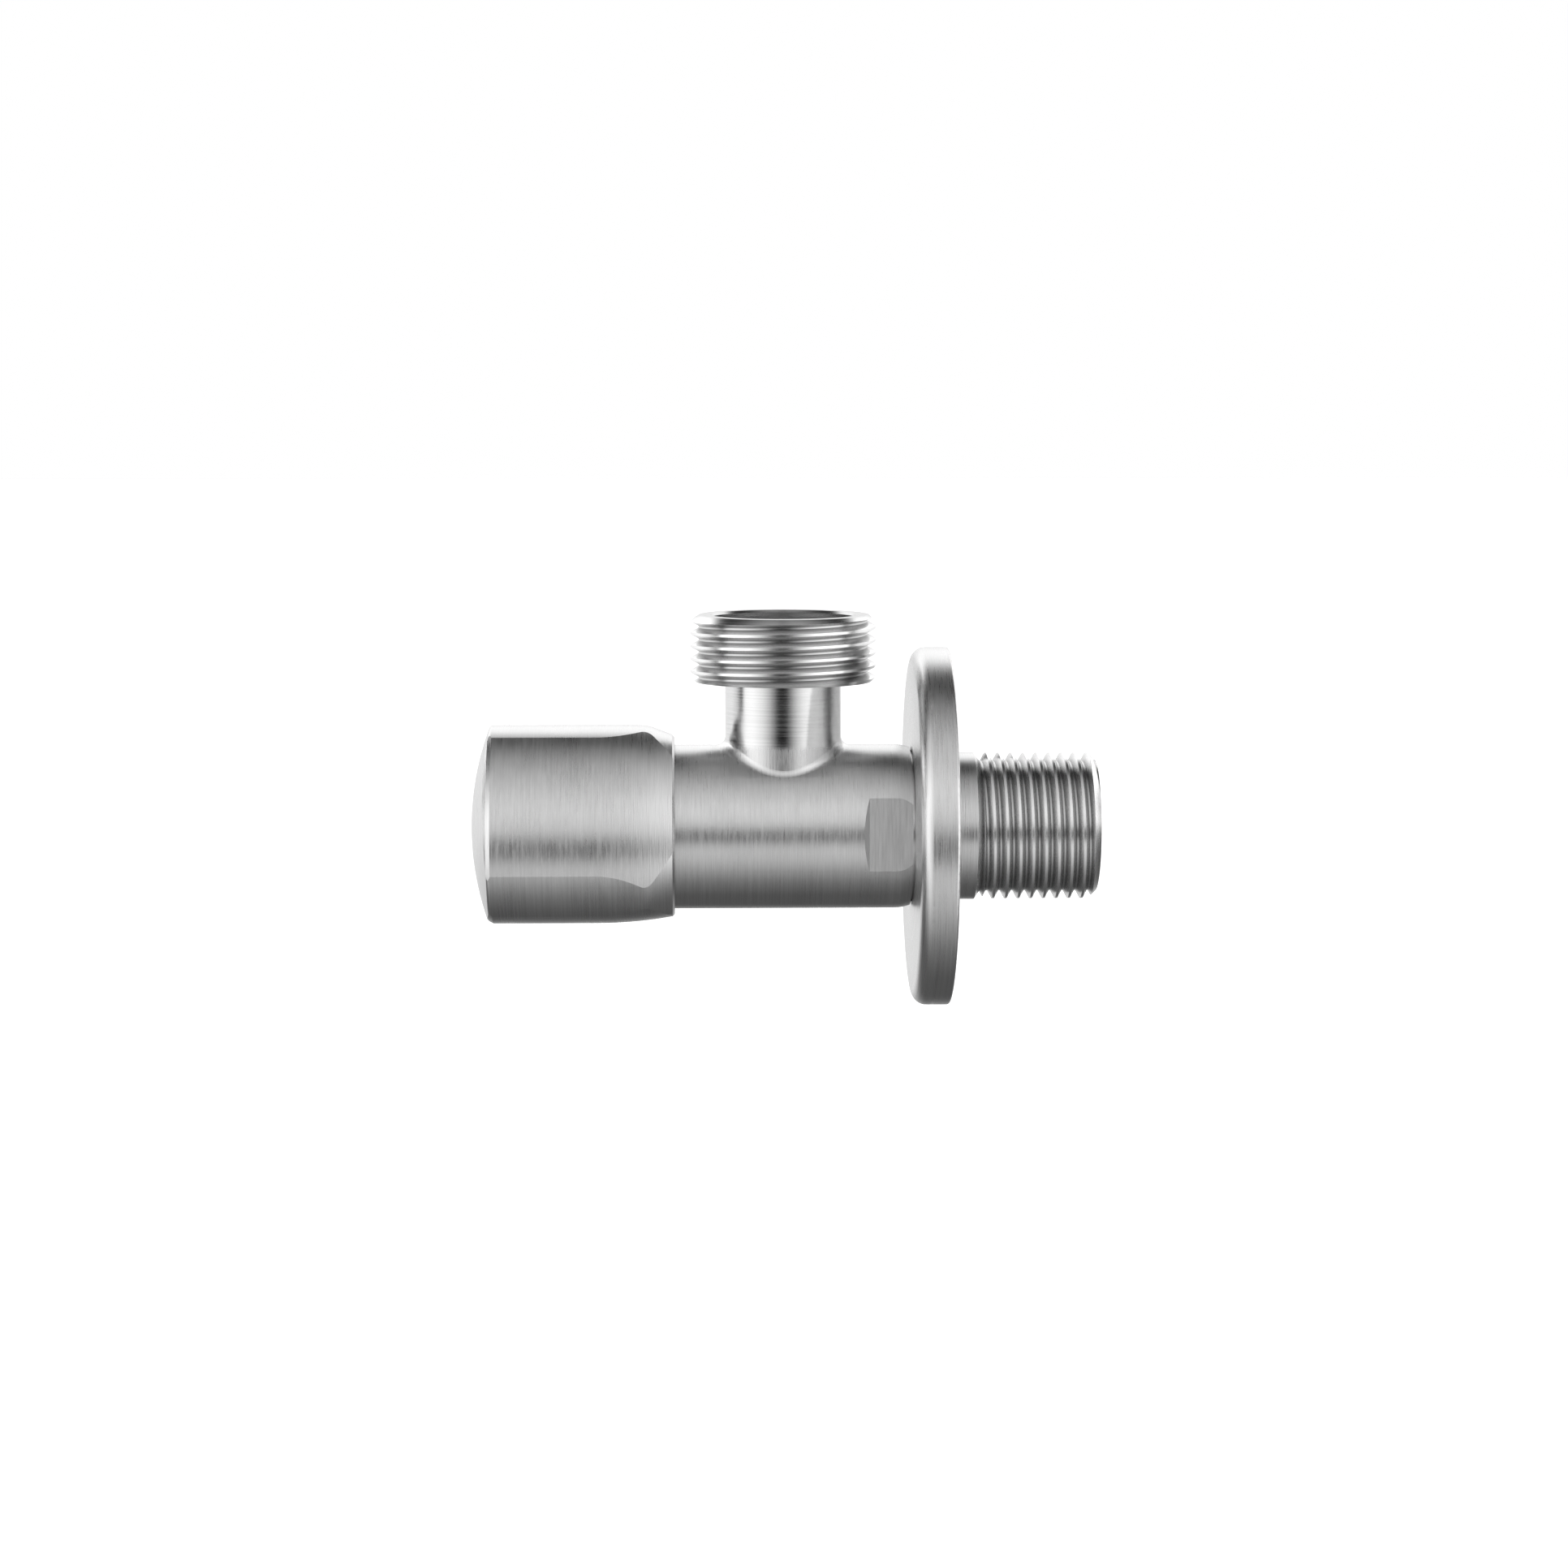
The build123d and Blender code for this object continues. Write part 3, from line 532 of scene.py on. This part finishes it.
# %% [markdown]
# ## A lamp and a floor
# One large soft lamp overhead fills in the matt pieces. It is hidden from reflections, since a
# sharp bright rectangle in the steel would spoil the bands. The floor is pale and glows a little,
# so it runs into the white background without a horizon line.

# %% Lamp and floor
def softbox(name, place, aim, size, power):
    lamp = bpy.data.lights.new(name, "AREA")
    lamp.shape = "RECTANGLE"
    lamp.size, lamp.size_y = size
    lamp.energy = power
    holder = bpy.data.objects.new(name, lamp)
    bpy.context.scene.collection.objects.link(holder)
    holder.location = place
    holder.rotation_euler = (Vector(aim) - Vector(place)).to_track_quat("-Z", "Y").to_euler()
    return holder


middle = (cad_low + cad_high) / 2
overhead = softbox("overhead_softbox", (0.0, 0.45, 0.75), middle, (1.2, 0.5), 3.0)
overhead.visible_glossy = False
floor_drop = 90 * MM
floor_width = 12.0
floor_z = cad_low.z - floor_drop
bpy.ops.mesh.primitive_plane_add(size=floor_width, location=(0, 0, floor_z))
floor = bpy.context.object
floor.name = "floor"
floor_material, board = new_material("pale_floor")
speck = board.noise(board.add("ShaderNodeTexCoord")["Object"], 40.0)
shade = board.mix(speck, grey(0.93), grey(0.96))
close(board, shade, 0.8, speck, 0.0, 0.01 * MM, **{"Emission Color": grey(1.0), "Emission Strength": 0.5})
floor.data.materials.append(floor_material)
floor.visible_glossy = False
print("floor at z", round(floor_z / MM, 1), "mm")

# %% [markdown]
# ## Camera
# The valve is seen from the front, from a little above its axis and about half a metre away. A
# long lens keeps the round flange and threads from looking stretched.

# %% Camera
lens_tilt_down = 0.1103
lens_turn = -0.0266
camera = bpy.data.cameras.new("camera")
camera.lens = 84.26
camera.sensor_width = 36.0
camera.clip_start = 0.01
viewer = bpy.data.objects.new("camera", camera)
bpy.context.scene.collection.objects.link(viewer)
viewer.location = (-31.82 * MM, -522.3 * MM, 63.94 * MM)
viewer.rotation_euler = (math.pi / 2 - lens_tilt_down, 0.0, lens_turn)
bpy.context.scene.camera = viewer
bpy.context.scene.view_settings.view_transform = "Standard"
bpy.context.scene.view_settings.look = "None"
print("camera at", [round(v, 4) for v in viewer.location])
